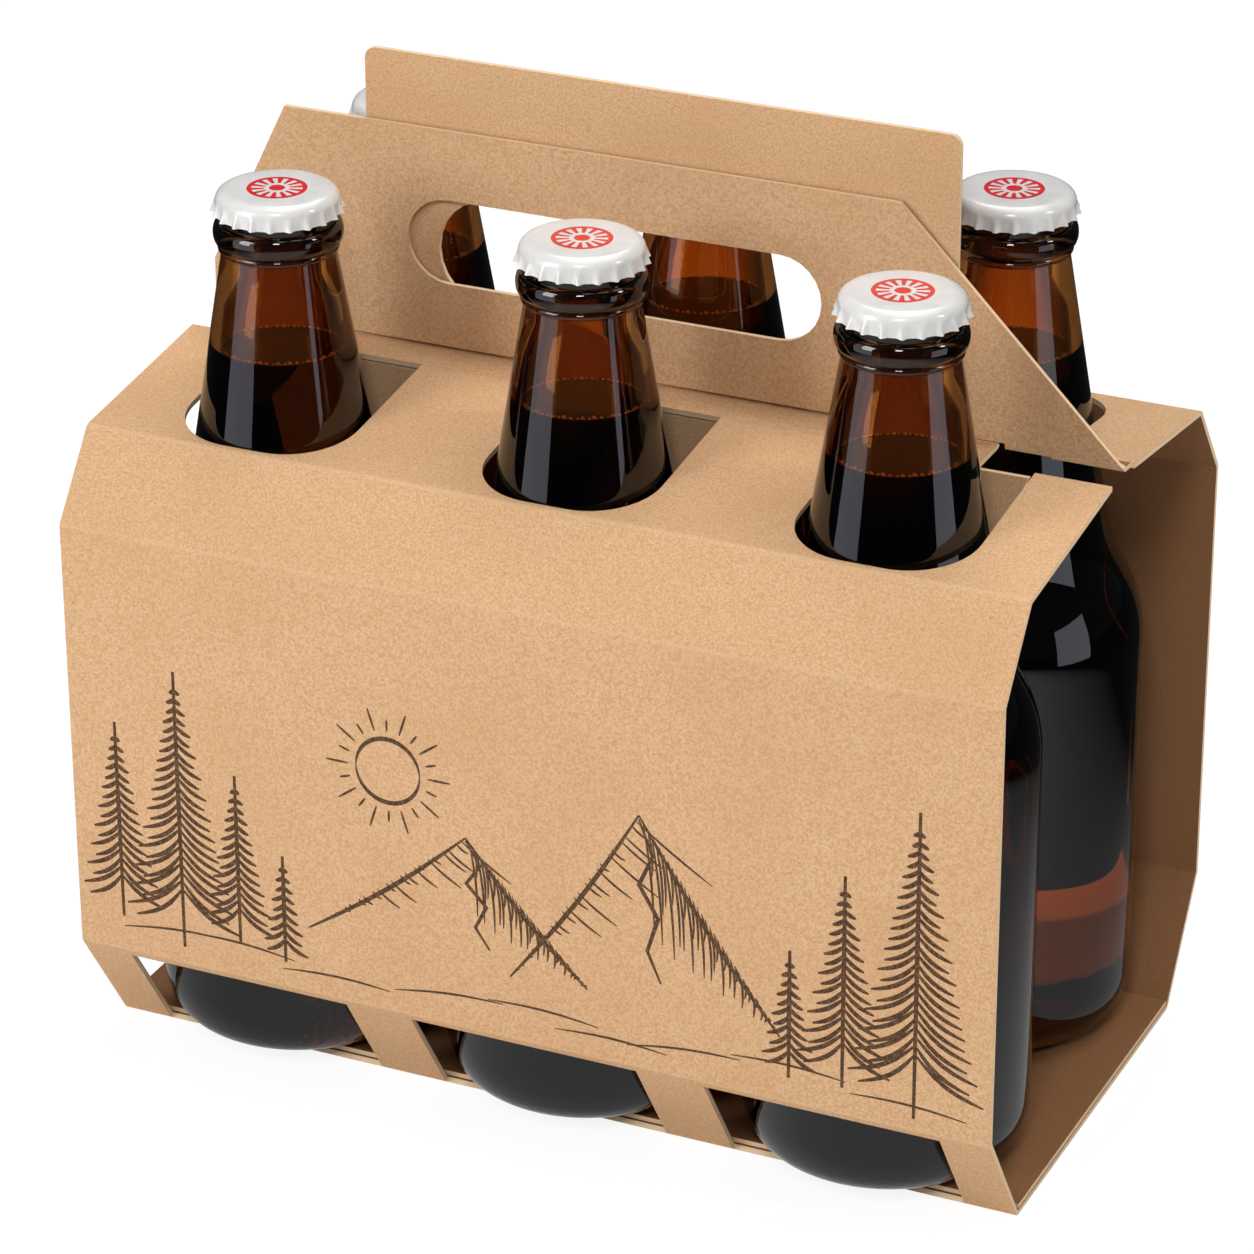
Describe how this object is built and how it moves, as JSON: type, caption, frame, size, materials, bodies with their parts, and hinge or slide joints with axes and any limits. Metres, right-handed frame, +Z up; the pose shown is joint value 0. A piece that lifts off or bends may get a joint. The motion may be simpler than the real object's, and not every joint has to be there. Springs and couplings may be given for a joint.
{
  "type": "bottle box",
  "caption": "Folded kraft-board bottle carrier with a threaded two-ply handle, neck holes and heel cut-outs, holding two rows of crown-capped amber glass bottles.",
  "frame": {"origin": "middle of the underside of the base panel", "axes": "+Z up, +X along the row of bottles to the right as seen from the front, front at -Y"},
  "size_m": [0.214, 0.131, 0.2168],
  "materials": {
    "kraft_board": "uncoated natural kraft board with fine fibre flecks",
    "amber_glass": "clear moulded amber glass",
    "beer": "clear amber liquid",
    "cap_enamel": "glossy white enamel on tinplate",
    "cap_liner": "soft sealing disc"
  },
  "bodies": {
    "sleeve": {"base_panel": "kraft_board", "base_lap_panel": "kraft_board", "front_lower_bevel": "kraft_board", "front_wall": "kraft_board", "front_upper_bevel": "kraft_board", "front_shoulder": "kraft_board", "rear_lower_bevel": "kraft_board", "rear_wall": "kraft_board", "rear_upper_bevel": "kraft_board", "rear_shoulder": "kraft_board", "ridge_bridge": "kraft_board"},
    "handle": {"handle_front_ply": "kraft_board", "handle_rear_ply": "kraft_board"},
    "neck_flap_left_body": {"neck_flap_left": "kraft_board"},
    "neck_flap_middle_body": {"neck_flap_middle": "kraft_board"},
    "neck_flap_right_body": {"neck_flap_right": "kraft_board"},
    "filled_bottle_front_left": {"bottle_front_left": "amber_glass", "beer_front_left": "beer"},
    "cap_front_left": {"crown_cap_front_left": "cap_enamel", "cap_liner_front_left": "cap_liner"},
    "filled_bottle_front_middle": {"bottle_front_middle": "amber_glass", "beer_front_middle": "beer"},
    "cap_front_middle": {"crown_cap_front_middle": "cap_enamel", "cap_liner_front_middle": "cap_liner"},
    "filled_bottle_front_right": {"bottle_front_right": "amber_glass", "beer_front_right": "beer"},
    "cap_front_right": {"crown_cap_front_right": "cap_enamel", "cap_liner_front_right": "cap_liner"},
    "filled_bottle_rear_left": {"bottle_rear_left": "amber_glass", "beer_rear_left": "beer"},
    "cap_rear_left": {"crown_cap_rear_left": "cap_enamel", "cap_liner_rear_left": "cap_liner"},
    "filled_bottle_rear_middle": {"bottle_rear_middle": "amber_glass", "beer_rear_middle": "beer"},
    "cap_rear_middle": {"crown_cap_rear_middle": "cap_enamel", "cap_liner_rear_middle": "cap_liner"},
    "filled_bottle_rear_right": {"bottle_rear_right": "amber_glass", "beer_rear_right": "beer"},
    "cap_rear_right": {"crown_cap_rear_right": "cap_enamel", "cap_liner_rear_right": "cap_liner"}
  },
  "joints": [
    {"name": "handle_swing", "type": "hinge", "parent": "sleeve", "child": "handle", "pos_m": [0, 0.0053, 0.15], "axis": [1, 0, 0], "range_deg": [-7, 18]},
    {"name": "neck_flap_left_fold", "type": "hinge", "parent": "sleeve", "child": "neck_flap_left_body", "pos_m": [-0.0704, -0.0047, 0.1491], "axis": [1, 0, 0], "range_deg": [-10, 6]},
    {"name": "neck_flap_middle_fold", "type": "hinge", "parent": "sleeve", "child": "neck_flap_middle_body", "pos_m": [0, -0.0047, 0.1491], "axis": [1, 0, 0], "range_deg": [-10, 6]},
    {"name": "neck_flap_right_fold", "type": "hinge", "parent": "sleeve", "child": "neck_flap_right_body", "pos_m": [0.0704, -0.0047, 0.1491], "axis": [1, 0, 0], "range_deg": [-10, 6]},
    {"name": "bottle_front_left_turn", "type": "hinge", "parent": "sleeve", "child": "filled_bottle_front_left", "pos_m": [-0.0704, -0.0313, 0], "axis": [0, 0, 1], "continuous": true},
    {"name": "cap_front_left_lift", "type": "slide", "parent": "filled_bottle_front_left", "child": "cap_front_left", "axis": [0, 0, 1], "range_m": [0, 0.04]},
    {"name": "bottle_front_middle_turn", "type": "hinge", "parent": "sleeve", "child": "filled_bottle_front_middle", "pos_m": [0, -0.0313, 0], "axis": [0, 0, 1], "continuous": true},
    {"name": "cap_front_middle_lift", "type": "slide", "parent": "filled_bottle_front_middle", "child": "cap_front_middle", "axis": [0, 0, 1], "range_m": [0, 0.04]},
    {"name": "bottle_front_right_turn", "type": "hinge", "parent": "sleeve", "child": "filled_bottle_front_right", "pos_m": [0.0704, -0.0313, 0], "axis": [0, 0, 1], "continuous": true},
    {"name": "cap_front_right_lift", "type": "slide", "parent": "filled_bottle_front_right", "child": "cap_front_right", "axis": [0, 0, 1], "range_m": [0, 0.04]},
    {"name": "bottle_rear_left_turn", "type": "hinge", "parent": "sleeve", "child": "filled_bottle_rear_left", "pos_m": [-0.0704, 0.0313, 0], "axis": [0, 0, 1], "continuous": true},
    {"name": "cap_rear_left_lift", "type": "slide", "parent": "filled_bottle_rear_left", "child": "cap_rear_left", "axis": [0, 0, 1], "range_m": [0, 0.04]},
    {"name": "bottle_rear_middle_turn", "type": "hinge", "parent": "sleeve", "child": "filled_bottle_rear_middle", "pos_m": [0, 0.0313, 0], "axis": [0, 0, 1], "continuous": true},
    {"name": "cap_rear_middle_lift", "type": "slide", "parent": "filled_bottle_rear_middle", "child": "cap_rear_middle", "axis": [0, 0, 1], "range_m": [0, 0.04]},
    {"name": "bottle_rear_right_turn", "type": "hinge", "parent": "sleeve", "child": "filled_bottle_rear_right", "pos_m": [0.0704, 0.0313, 0], "axis": [0, 0, 1], "continuous": true},
    {"name": "cap_rear_right_lift", "type": "slide", "parent": "filled_bottle_rear_right", "child": "cap_rear_right", "axis": [0, 0, 1], "range_m": [0, 0.04]}
  ]
}
